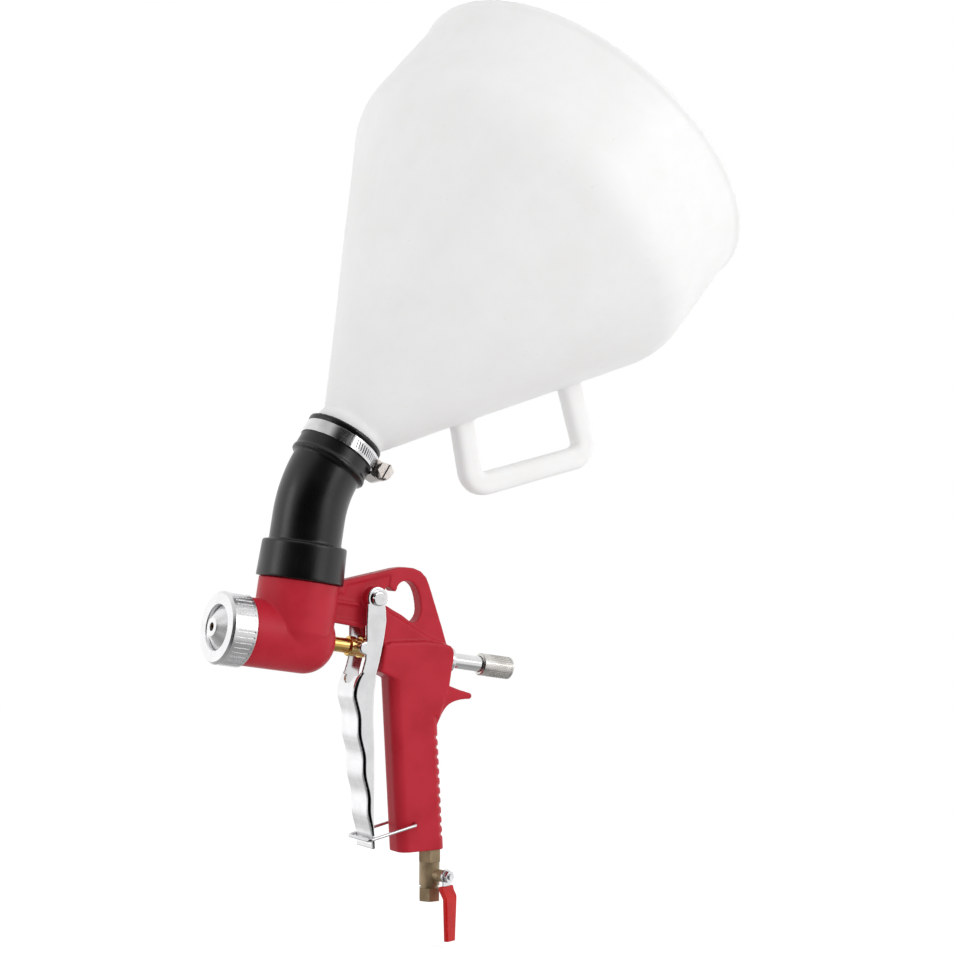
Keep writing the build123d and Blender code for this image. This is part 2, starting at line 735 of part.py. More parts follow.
def elbow():
    z0, z1 = ELBOW_COLLAR_Z
    up = (Align.CENTER, Align.CENTER, Align.MIN)
    collar = Pos(0, 0, z0) * Cone(ELBOW_COLLAR_R, ELBOW_COLLAR_R - 0.9, z1 - z0, align=up)
    collar = fillet(collar.edges().filter_by(GeomType.CIRCLE).sort_by(Axis.Z)[-1], 1.4)
    body = collar + rod((0, 0, z1 - 4.0), (0, 0, ELBOW_BEND_Z), ELBOW_R)
    body += elbow_bend(ELBOW_R)
    body += neck_bar(-CLAMP_RISE, CUFF_S[0] + 1.0, ELBOW_R)
    body += neck_bar(CUFF_S[0] - 0.7, CUFF_S[0] + 0.5, ELBOW_R - 0.4, CUFF_R + 0.7)
    body += neck_bar(CUFF_S[0] + 0.5, CUFF_S[0] + 2.6, CUFF_R + 0.7)
    body += neck_bar(CUFF_S[0] + 2.6, CUFF_S[1] - 2.6, CUFF_R)
    body += neck_bar(CUFF_S[1] - 2.6, CUFF_S[1], CUFF_R + 0.9)
    body -= rod((0, 0, z0 - 1), (0, 0, NECK_TOP_Z + 0.3), NECK_R + 0.07)
    body -= rod((0, 0, BEAD_Z[0] - 0.9), (0, 0, BEAD_Z[1] + 0.3), BEAD_R + 0.07)
    body -= rod((0, 0, NECK_TOP_Z), (0, 0, ELBOW_BEND_Z), ELBOW_BORE_R)
    body -= elbow_bend(ELBOW_BORE_R)
    body -= neck_bar(-CLAMP_RISE, CUFF_S[0] + 3.0, ELBOW_BORE_R)
    body -= neck_bar(CUFF_S[0] + 2.4, CUFF_S[1] + 1, CUFF_BORE_R)
    return body


NECK_REAR = Vector(cos(radians(NECK_LEAN)), 0, -sin(radians(NECK_LEAN)))


def clamp_frame(turn):
    """Plane on the clamp's mid line: z points outward at this angle from the rear."""
    outward = NECK_REAR * cos(radians(turn)) + Vector(0, -1, 0) * sin(radians(turn))
    return Plane(origin=CLAMP, x_dir=NECK_AXIS, z_dir=outward)


def band_layer(inner, outer, turn_from=None, turn_to=None):
    """Ring, or part of a ring, of the clamp's strip."""
    ring = neck_bar(-BAND_HALF_W, BAND_HALF_W, outer) - neck_bar(-9, 9, inner)
    if turn_from is None:
        return ring
    away = 60.0
    first = NECK_REAR * cos(radians(turn_from)) + Vector(0, -1, 0) * sin(radians(turn_from))
    middle_turn = (turn_from + turn_to) / 2
    middle = NECK_REAR * cos(radians(middle_turn)) + Vector(0, -1, 0) * sin(radians(middle_turn))
    last = NECK_REAR * cos(radians(turn_to)) + Vector(0, -1, 0) * sin(radians(turn_to))
    low = CLAMP - NECK_AXIS * 10
    corners = [low, low + first * away, low + middle * away, low + last * away]
    base = Face(Wire.make_polygon([c for c in corners], close=True))
    sector = Solid.extrude(base, NECK_AXIS * 20)
    return ring & sector


def clamp_band():
    inner = CUFF_R + 0.04
    band = band_layer(inner, inner + BAND_T)
    tail = band_layer(inner + BAND_T - 0.05, inner + 2 * BAND_T, -12.0, 104.0)
    band += tail
    for i in range(24):
        turn = -6.0 + 4.4 * i
        slot = clamp_frame(turn) * Pos(0, 0, inner + 2 * BAND_T) * Rot(0, 0, 12) * Box(4.6, 0.8, 1.2)
        band -= slot
    return band


def clamp_screw_line():
    """Worm's centre and direction: tangent to the band, beside the housing."""
    frame = clamp_frame(CLAMP_TURN)
    centre = CLAMP + frame.z_dir * (CUFF_R + 0.04 + 2 * BAND_T + WORM_R + 0.9)
    return centre, frame.y_dir


def clamp_housing():
    frame = clamp_frame(CLAMP_TURN)
    floor = CUFF_R + 0.04 + 2 * BAND_T + 0.08
    centre, along = clamp_screw_line()
    shell = frame * Pos(0, 0, floor + 1.6) * Box(HOUSING_WIDE, HOUSING_LONG, 6.6)
    roof = rod(centre - along * HOUSING_LONG / 2, centre + along * HOUSING_LONG / 2, WORM_R + 2.0)
    trim = frame * Pos(0, 0, floor + 9.0) * Box(HOUSING_WIDE, HOUSING_LONG, 18.0)
    shell += roof & trim
    shell -= rod(centre - along * HOUSING_LONG, centre + along * HOUSING_LONG, WORM_R + 0.1)
    shell -= neck_bar(-BAND_HALF_W - 0.08, BAND_HALF_W + 0.08, floor)
    shell -= neck_bar(-6, 6, CUFF_R + 0.06)
    return shell


def clamp_screw():
    centre, along = clamp_screw_line()
    worm = rod(centre - along * 8.2, centre + along * 8.2, WORM_R)
    for i in range(9):
        at = centre + along * (-6.4 + 1.6 * i)
        groove = rod(at - along * 0.35, at + along * 0.35, WORM_R + 1.0)
        worm -= groove - rod(at - along * 0.5, at + along * 0.5, WORM_R - 0.6)
    head = hex_bar(centre + along * 8.0, centre + along * 14.0, 9.0)
    washer = rod(centre + along * 8.0, centre + along * 9.1, 5.6)
    frame = clamp_frame(CLAMP_TURN)
    tip = centre + along * 14.0
    slot = Plane(origin=tip, x_dir=frame.x_dir, z_dir=along) * Box(14, 1.4, 3.0)
    return worm + head + washer - slot


# ---- hopper ----------------------------------------------------------------------------
HOPPER_AXIS = Vector(sin(radians(HOPPER_LEAN)), 0, cos(radians(HOPPER_LEAN)))
HOPPER_FOOT = Vector(HOPPER_FOOT_AT[0], 0, HOPPER_FOOT_AT[1])
HOPPER_PLANE = Plane(origin=HOPPER_FOOT, x_dir=(HOPPER_AXIS.Z, 0, -HOPPER_AXIS.X), z_dir=(0, -1, 0))


def hopper_form(offset):
    """Outer form of the hopper (offset 0) or of its hollow (offset = wall)."""
    past = 2.0 if offset else 0.0
    profile = HOPPER_PLANE * make_face(
        Polyline(
            (0, 0),
            (SPIGOT_R - offset, 0),
            (CREASE_R - offset, CREASE_RISE),
            (RIM_R - offset, RIM_RISE + past),
            (0, RIM_RISE + past),
            close=True,
        )
    )
    crease = HOPPER_PLANE.from_local_coords((CREASE_R - offset, CREASE_RISE, 0))
    corner = profile.vertices().sort_by_distance(crease)[0]
    profile = fillet(corner, CREASE_ROUND)
    bowl = revolve(profile, axis=Axis(HOPPER_FOOT, HOPPER_AXIS))
    spigot = neck_bar(-12.2 - past, 14.0, SPIGOT_R - offset)
    throat = Pos(HOPPER_FOOT.X, 0, HOPPER_FOOT.Z) * Sphere(SPIGOT_R + 0.9 - offset)
    return bowl + spigot + throat


def hopper_handle():
    a = (92.0, 0, 160.5)
    b = (111.2, 0, 108.2)
    c = (194.2, 0, 142.6)
    d = (168.6, 0, 195.5)
    path = FilletPolyline(a, b, c, d, radius=10.0)
    start = Plane(origin=a, x_dir=(0, 1, 0), z_dir=Vector(*b) - Vector(*a))
    return sweep(start * RectangleRounded(HANDLE_BAR[1], HANDLE_BAR[0], 4.0), path=path)


def hopper():
    rim = HOPPER_FOOT + HOPPER_AXIS * (RIM_RISE - 4.0)
    up = (Align.CENTER, Align.CENTER, Align.MIN)
    lip = Plane(origin=rim, z_dir=HOPPER_AXIS) * Cylinder(RIM_R + 1.6, 4.0, align=up)
    lip = fillet(lip.edges().filter_by(GeomType.CIRCLE), 1.4)
    shell = hopper_form(0.0) + lip + hopper_handle()
    # shoulder that stops the spigot at the top of the cuff
    shoulder_s = CUFF_S[1] + 0.05
    shell -= neck_bar(-14.0, shoulder_s, SPIGOT_R + 30.0) - neck_bar(-14.0, shoulder_s, SPIGOT_R)
    return shell - hopper_form(HOPPER_WALL)


PARTS = {
    "gun_body": gun_body,
    "nozzle_ring": nozzle_ring,
    "nozzle_insert": nozzle_insert,
    "nozzle_gasket": lambda: ring_x(DISC_BACK_X + 0.02, THREAD_FRONT_X - 0.02, 19.1, 15.6),
    "barrel_seal": lambda: ring_x(CHAMBER_REAR_X + 0.1, CHAMBER_REAR_X + 2.95, 6.48, TUBE_R + 0.03),
    "air_tube": air_tube,
    "pull_collar": pull_collar,
    "valve_seal": lambda: ring_x(SEAT_X + 0.02, 77.38, 6.1, TUBE_R + 0.02),
    "tube_packing": lambda: ring_x(PACKING_X[0] + 0.02, PACKING_X[1] - 0.02, 6.57, TUBE_R + 0.03),
    "gland_nut": gland_nut,
    "return_spring": return_spring,
    "spring_seat": spring_seat,
    "adjuster_housing": adjuster_housing,
    "adjuster_oring": lambda: ring_x(105.45, 107.35, 4.17, SCREW_R + 0.03),
    "adjuster_screw": lambda: rod((97.6, 0, 0), (149.6, 0, 0), SCREW_R),
    "adjuster_knob": adjuster_knob,
    "trigger": trigger,
    "pivot_screw": pivot_screw,
    "pivot_nut": pivot_nut,
    "trigger_bail": trigger_bail,
    "valve_body": valve_body,
    "valve_end": valve_end,
    "ball_seat_upper": lambda: ball_seat(11.5, 14.0),
    "ball_seat_lower": lambda: ball_seat(18.0, 20.6),
    "valve_ball": valve_ball,
    "valve_stem": valve_stem,
    "stem_packing": stem_packing,
    "stem_gland": stem_gland,
    "lever_strap": lever_strap,
    "lever_sleeve": lever_sleeve,
    "lever_nut": lever_nut,
    "elbow": elbow,
    "clamp_band": clamp_band,
    "clamp_housing": clamp_housing,
    "clamp_screw": clamp_screw,
    "hopper": hopper,
}

os.makedirs("parts", exist_ok=True)
for name, make in PARTS.items():
    solid = make().moved(Location(INLET * -1))
    print(name, round(solid.volume, 1), len(solid.solids()), flush=True)
    export_step(solid, "parts/" + name + ".step")
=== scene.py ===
import math

import bpy
from mathutils import Matrix, Vector, noise


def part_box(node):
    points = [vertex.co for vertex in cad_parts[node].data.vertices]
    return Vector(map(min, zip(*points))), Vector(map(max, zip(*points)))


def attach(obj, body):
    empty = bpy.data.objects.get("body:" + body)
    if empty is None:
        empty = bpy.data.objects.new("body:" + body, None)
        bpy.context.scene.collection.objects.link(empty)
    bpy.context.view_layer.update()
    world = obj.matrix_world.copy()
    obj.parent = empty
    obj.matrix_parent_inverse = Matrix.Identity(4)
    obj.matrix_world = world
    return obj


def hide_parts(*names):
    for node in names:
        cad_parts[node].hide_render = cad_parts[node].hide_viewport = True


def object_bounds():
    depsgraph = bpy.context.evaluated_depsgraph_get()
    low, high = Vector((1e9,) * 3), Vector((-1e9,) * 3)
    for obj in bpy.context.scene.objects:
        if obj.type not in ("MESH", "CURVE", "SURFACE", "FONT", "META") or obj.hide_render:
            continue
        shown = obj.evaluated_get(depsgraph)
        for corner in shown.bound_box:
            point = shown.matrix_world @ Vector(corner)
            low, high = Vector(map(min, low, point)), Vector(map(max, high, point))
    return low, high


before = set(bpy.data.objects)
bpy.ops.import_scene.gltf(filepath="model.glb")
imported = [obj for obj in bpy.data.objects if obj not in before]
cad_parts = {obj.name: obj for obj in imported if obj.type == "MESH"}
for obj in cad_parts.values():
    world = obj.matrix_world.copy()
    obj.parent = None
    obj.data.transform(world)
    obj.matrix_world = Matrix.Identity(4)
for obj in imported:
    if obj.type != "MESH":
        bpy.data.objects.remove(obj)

cad_low, cad_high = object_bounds()
scene = bpy.context.scene
MM = 0.001
EVEN = (1.0, 1.0, 1.0)
WHITE = (1.0, 1.0, 1.0, 1.0)
UP = Vector((0.0, 0.0, 1.0))
WELD_DISTANCE = 0.002 * MM


# ---- finishes --------------------------------------------------------------------------
class Finish:
    """One procedural material. The sizes that its methods take are in millimetres on the object."""

    def __init__(self, name):
        self.material = bpy.data.materials.new(name)
        self.material.use_nodes = True
        self.tree = self.material.node_tree
        self.shader = self.tree.nodes["Principled BSDF"]
        self.place = self.node("ShaderNodeTexCoord").outputs["Object"]
        self.height = None

    def node(self, kind, **settings):
        made = self.tree.nodes.new(kind)
        for key, value in settings.items():
            setattr(made, key, value)
        return made

    def join(self, value, socket):
        """Feeds a socket from another node's output, or sets it to a plain value or colour."""
        if isinstance(value, bpy.types.NodeSocket):
            self.tree.links.new(value, socket)
        elif isinstance(value, tuple) and len(value) == 3 and socket.type == "RGBA":
            socket.default_value = (*value, 1.0)
        else:
            socket.default_value = value

    def noise(self, size_mm, detail=2.0, roughness=0.5, stretch=EVEN):
        """Cloudy pattern with lumps of the given size; a stretch below 1 draws it out along that axis."""
        scaled = self.node("ShaderNodeVectorMath", operation="MULTIPLY")
        self.join(self.place, scaled.inputs[0])
        scaled.inputs[1].default_value = stretch
        grain = self.node("ShaderNodeTexNoise")
        self.join(scaled.outputs[0], grain.inputs["Vector"])
        grain.inputs["Scale"].default_value = 1.0 / (size_mm * MM)
        grain.inputs["Detail"].default_value = detail
        grain.inputs["Roughness"].default_value = roughness
        return grain.outputs["Fac"]

    def spread(self, value, low, high, out_low=0.0, out_high=1.0):
        """Eases a value between low and high over to the range out_low to out_high."""
        ramp = self.node("ShaderNodeMapRange", interpolation_type="SMOOTHSTEP")
        self.join(value, ramp.inputs["Value"])
        ramp.inputs["From Min"].default_value = low
        ramp.inputs["From Max"].default_value = high
        ramp.inputs["To Min"].default_value = out_low
        ramp.inputs["To Max"].default_value = out_high
        return ramp.outputs["Result"]

    def maths(self, operation, a, b=0.0):
        made = self.node("ShaderNodeMath", operation=operation)
        self.join(a, made.inputs[0])
        self.join(b, made.inputs[1])
        return made.outputs[0]

    def mix(self, share, first, second):
        made = self.node("ShaderNodeMix", data_type="RGBA")
        self.join(share, made.inputs[0])
        self.join(first, made.inputs[6])
        self.join(second, made.inputs[7])
        return made.outputs[2]

    def edges(self, low, high):
        """Share that rises on outer edges, from the mesh's own curvature."""
        shape = self.node("ShaderNodeNewGeometry").outputs["Pointiness"]
        return self.spread(shape, low, high)

    def crevices(self, low, high):
        """Share that rises in inner corners."""
        shape = self.node("ShaderNodeNewGeometry").outputs["Pointiness"]
        return self.spread(shape, low, high, 1.0, 0.0)

    def bump(self, height, depth_mm):
        made = self.node("ShaderNodeBump")
        made.inputs["Strength"].default_value = 1.0
        made.inputs["Distance"].default_value = depth_mm * MM
        self.join(height, made.inputs["Height"])
        if self.height is not None:
            self.join(self.height, made.inputs["Normal"])
        self.height = made.outputs["Normal"]
        self.join(self.height, self.shader.inputs["Normal"])

    def set(self, **values):
        for key, value in values.items():
            self.join(value, self.shader.inputs[key.replace("_", " ")])


def painted_casting():
    """Powder coat on a die casting: fine orange peel, edges rubbed paler, painted shade darkening the
    inner corners.
    """
    f = Finish("painted_casting")
    cloud = f.noise(22.0, 3.0)
    fleck = f.noise(0.9, 2.0)
    colour = f.mix(f.spread(cloud, 0.35, 0.65), (0.455, 0.012, 0.026), (0.515, 0.018, 0.036))
    worn = f.maths("MULTIPLY", f.edges(0.53, 0.60), f.spread(fleck, 0.35, 0.7))
    colour = f.mix(f.maths("MULTIPLY", worn, 0.45), colour, (0.62, 0.10, 0.12))
    # painted shade: inner corners are darkened toward a deep red, standing in for the shade that falls
    # there
    colour = f.mix(f.maths("MULTIPLY", f.crevices(0.40, 0.48), 0.55), colour, (0.14, 0.004, 0.008))
    rough = f.maths("ADD", f.spread(cloud, 0.3, 0.7, 0.36, 0.44), f.maths("MULTIPLY", worn, 0.1))
    f.set(Base_Color=colour, Roughness=rough, Specular_IOR_Level=0.22)
    f.bump(f.noise(1.3, 1.0), 0.035)
    f.bump(f.noise(0.35, 1.0), 0.006)
    return f.material


def moulded_rubber():
    """Black rubber: matt skin, grey bloom where it has been handled, fine mould grain."""
    f = Finish("moulded_rubber")
    cloud = f.noise(16.0, 4.0, 0.6)
    streak = f.noise(5.0, 3.0, 0.6, (1.0, 1.0, 0.25))
    bloom = f.maths("MULTIPLY", f.spread(cloud, 0.45, 0.7), f.spread(streak, 0.4, 0.7))
    colour = f.mix(f.maths("MULTIPLY", bloom, 0.5), (0.0022, 0.0024, 0.0024), (0.0065, 0.0068, 0.0066))
    colour = f.mix(f.maths("MULTIPLY", f.edges(0.52, 0.60), 0.35), colour, (0.035, 0.036, 0.035))
    rough = f.spread(cloud, 0.3, 0.7, 0.27, 0.36)
    f.set(Base_Color=colour, Roughness=rough, Specular_IOR_Level=0.5)
    f.bump(f.noise(0.45, 2.0), 0.008)
    f.bump(f.noise(9.0, 2.0), 0.05)
    return f.material


def blown_plastic():
    """Milky blow-moulded plastic: light goes into the wall, a wavy skin, fine haze and specks."""
    f = Finish("blown_plastic")
    cloud = f.noise(55.0, 3.0, 0.55)
    haze = f.noise(7.0, 4.0, 0.6)
    speck = f.spread(f.noise(1.6, 1.0), 0.76, 0.80)
    colour = f.mix(f.spread(cloud, 0.3, 0.7), (0.895, 0.892, 0.882), (0.935, 0.935, 0.932))
    colour = f.mix(f.maths("MULTIPLY", f.spread(haze, 0.4, 0.75), 0.2), colour, (0.875, 0.875, 0.865))
    colour = f.mix(f.maths("MULTIPLY", speck, 0.35), colour, (0.62, 0.60, 0.55))
    rough = f.spread(haze, 0.3, 0.7, 0.40, 0.52)
    f.set(Base_Color=colour, Roughness=rough, Specular_IOR_Level=0.42)
    f.set(Subsurface_Weight=0.35, Subsurface_Scale=6.0 * MM)
    f.shader.inputs["Subsurface Radius"].default_value = (1.0, 0.95, 0.88)
    f.bump(f.noise(26.0, 2.0), 0.25)
    f.bump(f.noise(0.8, 2.0), 0.012)
    return f.material


def metal(name, dark, light, rough_low, rough_high, brush=EVEN, scratch_mm=0.5, depth_mm=0.006, bare=1.0):
    """Bare or plated metal: cloudy handling marks, stains and fine tool lines. A low bare is tarnished."""
    f = Finish(name)
    cloud = f.noise(9.0, 3.0, 0.5)
    lines = f.noise(scratch_mm, 2.0, 0.5, brush)
    colour = f.mix(f.spread(cloud, 0.3, 0.7), dark, light)
    stain = f.spread(f.noise(2.4, 3.0, 0.6), 0.60, 0.78)
    colour = f.mix(f.maths("MULTIPLY", stain, 0.22), colour, tuple(channel * 0.55 for channel in dark))
    rough = f.maths(
        "ADD",
        f.spread(cloud, 0.3, 0.7, rough_low, rough_high),
        f.spread(lines, 0.35, 0.65, -0.03, 0.05),
    )
    f.set(Base_Color=colour, Metallic=bare, Roughness=rough)
    f.bump(lines, depth_mm)
    return f.material


def soft_vinyl():
    """Dipped vinyl on the lever: glossy, saturated, with a few dull rubs."""
    f = Finish("soft_vinyl")
    cloud = f.noise(6.0, 3.0)
    colour = f.mix(f.spread(cloud, 0.3, 0.7), (0.50, 0.006, 0.008), (0.57, 0.011, 0.011))
    colour = f.mix(f.maths("MULTIPLY", f.edges(0.53, 0.6), 0.3), colour, (0.72, 0.06, 0.05))
    f.set(Base_Color=colour, Roughness=f.spread(cloud, 0.3, 0.7, 0.14, 0.24), Specular_IOR_Level=0.3)
    f.bump(f.noise(1.8, 2.0), 0.01)
    return f.material


def seal(name, dark, light, roughness):
    """Hidden seals: plain rubber or fluoroplastic with a fine moulded skin."""
    f = Finish(name)
    cloud = f.noise(1.5, 3.0)
    f.set(Base_Color=f.mix(f.spread(cloud, 0.3, 0.7), dark, light))
    f.set(Roughness=f.spread(cloud, 0.3, 0.7, roughness - 0.06, roughness + 0.06))
    f.bump(f.noise(0.2, 2.0), 0.004)
    return f.material


# each pair of colours is the darker and the lighter tone of one metal
BRIGHT = ((0.80, 0.80, 0.81), (0.88, 0.88, 0.89))
STEEL = ((0.62, 0.62, 0.63), (0.76, 0.76, 0.77))
BRASS = ((0.70, 0.44, 0.13), (0.86, 0.60, 0.24))
DULL_BRASS = ((0.25, 0.18, 0.10), (0.40, 0.30, 0.18))
DULL_STEEL = ((0.30, 0.27, 0.25), (0.46, 0.43, 0.41))
NICKEL = ((0.60, 0.58, 0.55), (0.74, 0.72, 0.69))
SPRING_STEEL = ((0.30, 0.30, 0.31), (0.42, 0.42, 0.43))
finish_casting = painted_casting()
finish_rubber = moulded_rubber()
finish_plastic = blown_plastic()
finish_vinyl = soft_vinyl()
finish_chrome = metal("chrome_plate", *BRIGHT, 0.06, 0.12, (1.0, 6.0, 6.0), 1.2, 0.002)
finish_ring = metal("satin_aluminium", *BRIGHT, 0.24, 0.32, EVEN, 0.6, 0.003)
finish_trigger = metal("polished_pressing", *BRIGHT, 0.07, 0.15, (6.0, 6.0, 0.5), 1.5, 0.002)
finish_knob = metal("nickel_plate", *NICKEL, 0.20, 0.32)
finish_steel = metal("zinc_plate", *STEEL, 0.18, 0.28, EVEN, 0.7, 0.002)
finish_strip = metal("stainless_strip", *STEEL, 0.10, 0.18, (4.0, 4.0, 4.0), 2.0, 0.001)
finish_spring = metal("spring_steel", *SPRING_STEEL, 0.25, 0.35)
finish_brass = metal("bright_brass", *BRASS, 0.12, 0.22, (0.6, 6.0, 6.0), 1.2, 0.004)
finish_valve = metal("dull_brass", *DULL_BRASS, 0.30, 0.42, EVEN, 0.5, 0.003, 0.45)
finish_clamp = metal("dull_steel", *DULL_STEEL, 0.16, 0.26, EVEN, 0.7, 0.002, 0.8)
finish_seal = seal("nitrile_seal", (0.012, 0.012, 0.013), (0.020, 0.020, 0.021), 0.55)
finish_ptfe = seal("white_seat", (0.78, 0.78, 0.76), (0.86, 0.86, 0.84), 0.45)


# ---- shapes ----------------------------------------------------------------------------
def dress(obj, material):
    """Gives the whole of an object one finish."""
    obj.data.materials.clear()
    obj.data.materials.append(material)
    for polygon in obj.data.polygons:
        polygon.material_index = 0


EARS_TO_PLATE = 52.0 * MM
PLATE_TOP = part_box("trigger")[1].z - EARS_TO_PLATE
PLATE_BIN = 0.6 * MM


def round_bends(mesh, radius_mm):
    """Pulls the corners between the trigger's finger plate and its flanges back to round bends."""
    radius = radius_mm * MM
    half = max(vertex.co.y for vertex in mesh.vertices)
    # the foremost x at each level, which is the line of the finger plate
    front = {}
    for vertex in mesh.vertices:
        level = round(vertex.co.z / PLATE_BIN)
        front[level] = min(front.get(level, 1.0), vertex.co.x)
    for vertex in mesh.vertices:
        if vertex.co.z > PLATE_TOP:
            continue
        level = math.floor(vertex.co.z / PLATE_BIN)
        share = vertex.co.z / PLATE_BIN - level
        below = front.get(level, vertex.co.x)
        above = front.get(level + 1, below)
        inward = vertex.co.x - (below * (1.0 - share) + above * share) - radius
        sideways = abs(vertex.co.y) - (half - radius)
        if inward >= 0.0 or sideways <= 0.0:
            continue
        reach = math.hypot(inward, sideways)
        if reach > radius:
            vertex.co.x += inward * (radius / reach - 1.0)
            vertex.co.y = math.copysign(half - radius + sideways * radius / reach, vertex.co.y)
    mesh.update()


def softened(node, piece, body, voxel_mm, rounds, material, bend_mm=0.0):
    """A finer stand-in for a CAD node, whose corners are rounded as the mould or die leaves them."""
    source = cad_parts[node]
    work = bpy.data.objects.new(piece + "_work", source.data.copy())
    scene.collection.objects.link(work)
    weld = work.modifiers.new("Weld", "WELD")
    weld.merge_threshold = WELD_DISTANCE
    remesh = work.modifiers.new("Remesh", "REMESH")
    remesh.mode = "VOXEL"
    remesh.voxel_size = voxel_mm * MM
    smooth = work.modifiers.new("Smooth", "SMOOTH")
    smooth.factor = 0.5
    smooth.iterations = rounds
    bpy.context.view_layer.update()
    graph = bpy.context.evaluated_depsgraph_get()
    mesh = bpy.data.meshes.new_from_object(work.evaluated_get(graph), depsgraph=graph)
    bpy.data.objects.remove(work)
    mesh.name = piece
    if bend_mm:
        round_bends(mesh, bend_mm)
    obj = bpy.data.objects.new(piece, mesh)
    scene.collection.objects.link(obj)
    for polygon in mesh.polygons:
        polygon.use_smooth = True
    dress(obj, material)
    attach(obj, body)
    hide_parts(node)
    return obj


EDGE_BREAK = 0.15 * MM
SHARPEST_LEFT = math.radians(32.0)


def machined(node, material):
    """A CAD node kept as it is, with its sharp corners broken."""
    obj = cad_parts[node]
    dress(obj, material)
    weld = obj.modifiers.new("Weld", "WELD")
    weld.merge_threshold = WELD_DISTANCE
    bevel = obj.modifiers.new("Bevel", "BEVEL")
    bevel.width = EDGE_BREAK
    bevel.segments = 2
    bevel.limit_method = "ANGLE"
    bevel.angle_limit = SHARPEST_LEFT
    bevel.use_clamp_overlap = True
    obj.modifiers.new("Normals", "WEIGHTED_NORMAL").keep_sharp = True


softened("gun_body", "casting_skin", "gun", 0.6, 4, finish_casting)
boot = softened("elbow", "elbow_skin", "elbow_body", 0.7, 3, finish_rubber)
bowl = softened("hopper", "hopper_skin", "hopper_body", 1.25, 6, finish_plastic)
softened("trigger", "trigger_skin", "trigger_body", 0.4, 5, finish_trigger, 2.6)
softened("lever_sleeve", "sleeve_skin", "valve_handle", 0.28, 5, finish_vinyl)


def sway(obj, size_mm, amount_mm):
    """Slow, shallow waves in a moulded wall, so that reflections wander as on the real thing."""
    scale = 1.0 / (size_mm * MM)
    normals = [normal.vector.copy() for normal in obj.data.vertex_normals]
    for vertex, normal in zip(obj.data.vertices, normals):
        vertex.co += normal * noise.noise(vertex.co * scale) * amount_mm * MM
    obj.data.update()


sway(bowl, 70.0, 0.5)
sway(boot, 30.0, 0.15)

MACHINED = {
    finish_ring: ["nozzle_ring", "nozzle_insert"],
    finish_chrome: ["adjuster_housing", "pivot_screw"],
    finish_knob: ["adjuster_knob"],
    finish_brass: ["air_tube", "pull_collar", "gland_nut", "spring_seat"],
    finish_valve: ["valve_body", "valve_end", "stem_gland"],
    finish_steel: ["adjuster_screw", "pivot_nut", "lever_strap", "lever_nut", "valve_stem"],
    finish_strip: ["clamp_band"],
    finish_clamp: ["clamp_housing", "clamp_screw"],
}
SMOOTH_ONLY = {
    finish_steel: ["trigger_bail"],
    finish_spring: ["return_spring"],
    finish_chrome: ["valve_ball"],
    finish_seal: ["nozzle_gasket", "barrel_seal", "valve_seal", "tube_packing", "adjuster_oring"],
    finish_ptfe: ["ball_seat_upper", "ball_seat_lower", "stem_packing"],
}
for finish, names in MACHINED.items():
    for name in names:
        machined(name, finish)
for finish, names in SMOOTH_ONLY.items():
    for name in names:
        dress(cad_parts[name], finish)


# ---- floor, light and camera -----------------------------------------------------------
FLOOR_HALF = 6.0
FLOOR_GAP = 4.0 * MM
FLOOR_TONE = (0.80, 0.80, 0.80)
FLOOR_LIFT = 0.42
FLOOR_FADE = (0.7, 2.2)


def pale_floor():
    """Plain pale floor just under the object, lifted for the camera and fading to white far away."""
    mesh = bpy.data.meshes.new("floor")
    level = cad_low.z - FLOOR_GAP
    signs = [(-1, -1), (1, -1), (1, 1), (-1, 1)]
    corners = [(x * FLOOR_HALF, y * FLOOR_HALF, level) for x, y in signs]
    mesh.from_pydata(corners, [], [(0, 1, 2, 3)])
    floor = bpy.data.objects.new("floor", mesh)
    scene.collection.objects.link(floor)
    f = Finish("pale_floor")
    far = f.node("ShaderNodeVectorMath", operation="LENGTH")
    f.join(f.place, far.inputs[0])
    fade = f.spread(far.outputs["Value"], *FLOOR_FADE)
    f.set(Base_Color=FLOOR_TONE, Roughness=0.9, Specular_IOR_Level=0.1)
    glow = f.node("ShaderNodeEmission")
    glow.inputs["Color"].default_value = WHITE
    lift = f.node("ShaderNodeEmission")
    path = f.node("ShaderNodeLightPath").outputs
    f.join(f.maths("MULTIPLY", path["Is Camera Ray"], FLOOR_LIFT), lift.inputs["Strength"])
    lifted = f.node("ShaderNodeAddShader")
    f.tree.links.new(f.shader.outputs[0], lifted.inputs[0])
    f.tree.links.new(lift.outputs[0], lifted.inputs[1])
    blend = f.node("ShaderNodeMixShader")
    f.join(fade, blend.inputs[0])
    f.tree.links.new(lifted.outputs[0], blend.inputs[1])
    f.tree.links.new(glow.outputs[0], blend.inputs[2])
    # reflections look through the floor, so that they show the room below it as well
    through = f.node("ShaderNodeMixShader")
    f.join(path["Is Glossy Ray"], through.inputs[0])
    f.tree.links.new(blend.outputs[0], through.inputs[1])
    f.tree.links.new(f.node("ShaderNodeBsdfTransparent").outputs[0], through.inputs[2])
    f.tree.links.new(through.outputs[0], f.tree.nodes["Material Output"].inputs["Surface"])
    mesh.materials.append(f.material)


CAMERA_RIGHT = Vector((0.82416, -0.54952, 0.13710)).normalized()
CAMERA_BACK = Vector((-0.54257, -0.83548, -0.08716)).normalized()
CAMERA_UP = CAMERA_BACK.cross(CAMERA_RIGHT)
CAMERA_PLACE = Vector((-0.7396, -1.1260, 0.1453))
CAMERA_SENSOR = 36.0
CAMERA_LENS = 81.6
CAMERA_CLIP = (0.05, 50.0)


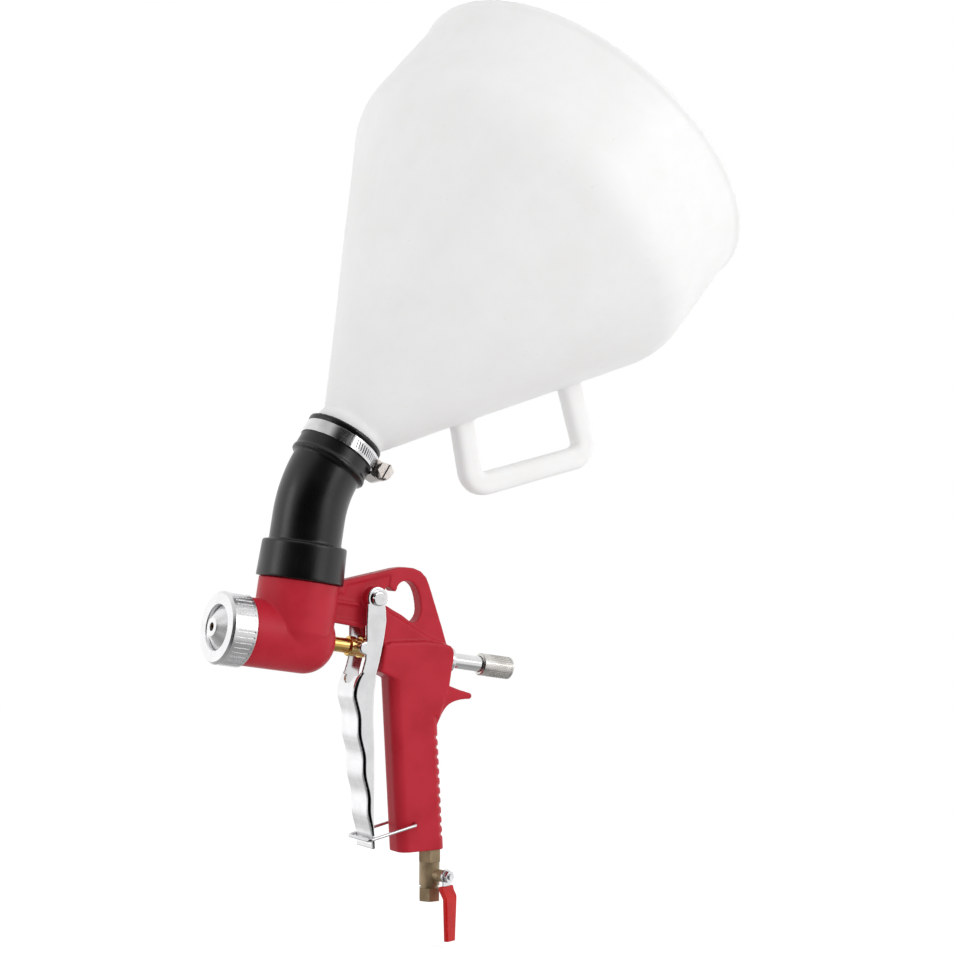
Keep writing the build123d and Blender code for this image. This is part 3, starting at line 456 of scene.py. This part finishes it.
def studio_world():
    """Pale room: brighter to the right, dimmer overhead and dark behind the camera. Reflections show
    the dark patch darker than diffuse light does, and show the room dimmer below."""
    world = bpy.data.worlds.new("studio")
    world.use_nodes = True
    scene.world = world
    tree = world.node_tree
    back = tree.nodes["Background"]
    where = tree.nodes.new("ShaderNodeTexCoord").outputs["Generated"]

    def toward(direction, low, high, out_low, out_high):
        """Share that changes as the looked-at direction turns toward the given one."""
        dot = tree.nodes.new("ShaderNodeVectorMath")
        dot.operation = "DOT_PRODUCT"
        tree.links.new(where, dot.inputs[0])
        dot.inputs[1].default_value = direction
        ramp = tree.nodes.new("ShaderNodeMapRange")
        ramp.interpolation_type = "SMOOTHSTEP"
        tree.links.new(dot.outputs["Value"], ramp.inputs["Value"])
        for socket, value in zip(list(ramp.inputs)[1:5], (low, high, out_low, out_high)):
            socket.default_value = value
        return ramp.outputs["Result"]

    def times(first, second):
        product = tree.nodes.new("ShaderNodeMath")
        product.operation = "MULTIPLY"
        tree.links.new(first, product.inputs[0])
        tree.links.new(second, product.inputs[1])
        return product.outputs[0]

    path = tree.nodes.new("ShaderNodeLightPath").outputs
    soft = times(
        toward(CAMERA_BACK, 0.76, 0.95, 1.0, 0.5),
        toward(CAMERA_RIGHT, -1.0, 1.0, 0.84, 1.05),
    )
    sharp = times(
        toward(CAMERA_BACK, 0.55, 0.82, 1.0, 0.0),
        toward(CAMERA_BACK, -0.2, 0.4, 1.10, 0.80),
    )
    sharp = times(sharp, toward(-UP, 0.25, 0.60, 1.0, 0.35))
    patch = tree.nodes.new("ShaderNodeMix")
    patch.data_type = "FLOAT"
    tree.links.new(path["Is Glossy Ray"], patch.inputs[0])
    tree.links.new(soft, patch.inputs[2])
    tree.links.new(sharp, patch.inputs[3])
    overhead = toward(UP, -0.2, 0.9, 1.05, 0.82)
    strength = times(patch.outputs[0], overhead)
    pick = tree.nodes.new("ShaderNodeMix")
    pick.data_type = "FLOAT"
    tree.links.new(path["Is Camera Ray"], pick.inputs[0])
    tree.links.new(strength, pick.inputs[2])
    pick.inputs[3].default_value = 1.0
    back.inputs["Color"].default_value = WHITE
    tree.links.new(pick.outputs[0], back.inputs["Strength"])


PANEL_DISTANCE = 1.6


def panel(name, direction, size, power):
    """Square soft box that faces the middle of the object."""
    light = bpy.data.lights.new(name, "AREA")
    light.shape = "SQUARE"
    light.size = size
    light.energy = power
    lamp = bpy.data.objects.new(name, light)
    middle = (cad_low + cad_high) / 2
    outward = Vector(direction).normalized()
    lamp.location = middle + outward * PANEL_DISTANCE
    lamp.rotation_mode = "QUATERNION"
    lamp.rotation_quaternion = outward.to_track_quat("Z", "Y")
    scene.collection.objects.link(lamp)


def photo_camera():
    """Camera at the angle of the photograph: low, at the front left, with a long lens."""
    data = bpy.data.cameras.new("camera")
    data.sensor_width = CAMERA_SENSOR
    data.lens = CAMERA_LENS
    data.clip_start, data.clip_end = CAMERA_CLIP
    camera = bpy.data.objects.new("camera", data)
    place = Matrix.Identity(4)
    for row in range(3):
        place[row][0] = CAMERA_RIGHT[row]
        place[row][1] = CAMERA_UP[row]
        place[row][2] = CAMERA_BACK[row]
    place.translation = CAMERA_PLACE
    camera.matrix_world = place
    scene.collection.objects.link(camera)
    scene.camera = camera


pale_floor()
studio_world()
panel("right_box", CAMERA_RIGHT * 0.8 + CAMERA_BACK * 0.5 + CAMERA_UP * 0.3, 0.8, 5.0)
panel("left_box", CAMERA_RIGHT * -0.9 + CAMERA_BACK * 0.35 + CAMERA_UP * 0.3, 0.6, 2.0)
photo_camera()
scene.view_settings.view_transform = "Standard"
